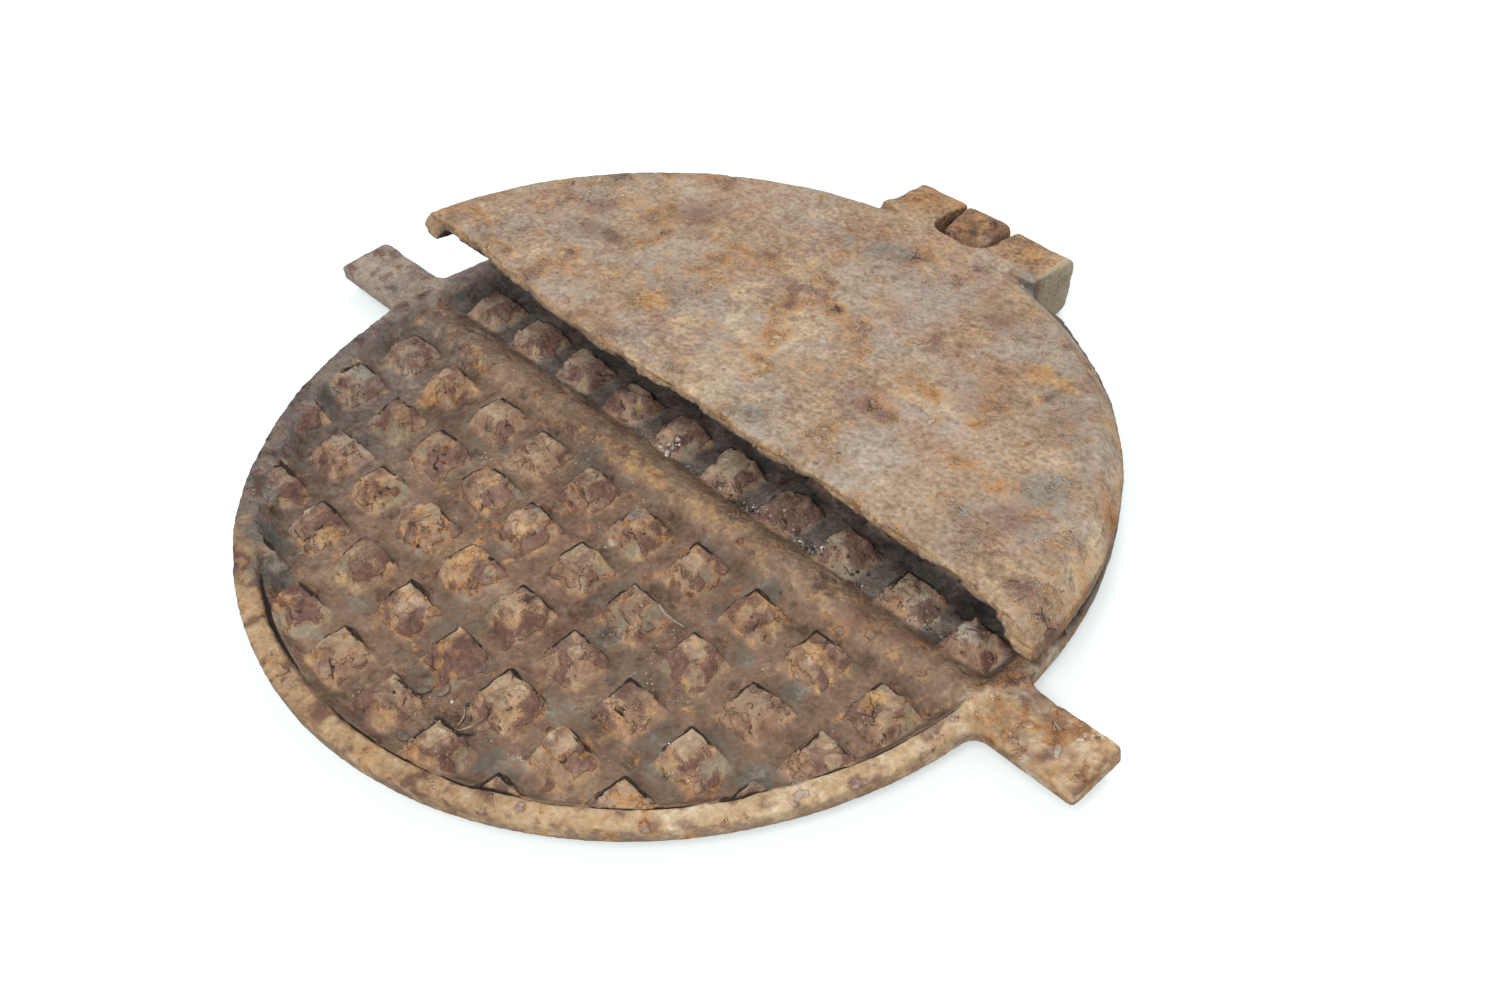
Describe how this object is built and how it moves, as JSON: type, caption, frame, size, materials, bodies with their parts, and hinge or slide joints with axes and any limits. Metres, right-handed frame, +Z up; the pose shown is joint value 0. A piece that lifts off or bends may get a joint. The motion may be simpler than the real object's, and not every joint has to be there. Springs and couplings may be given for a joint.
{
  "type": "stovetop waffle iron",
  "caption": "Round cast-iron stovetop waffle iron: studded lower pan with straight side tabs, and the broken rear half of its hinged upper plate resting slightly open.",
  "frame": {"origin": "centre of the lower plate's flat underside", "axes": "+X along the two side tabs, +Y towards the hinge, +Z up from the flat underside"},
  "size_m": [0.2377, 0.2007, 0.0324],
  "materials": {
    "lower_iron": "rusted and pitted, ochre and dark brown",
    "upper_iron": "rusted, dusty mauve brown with ochre patches",
    "pin_iron": "dark rust"
  },
  "bodies": {
    "lower": {"lower_plate": "lower_iron"},
    "upper": {"upper_plate": "upper_iron", "hinge_pin": "pin_iron"}
  },
  "joints": [
    {"name": "hinge", "type": "hinge", "parent": "lower", "child": "upper", "pos_m": [0.0013, 0.0992, 0.0094], "axis": [-0.9988, 0, 0.049], "range_deg": [0, 105]}
  ]
}
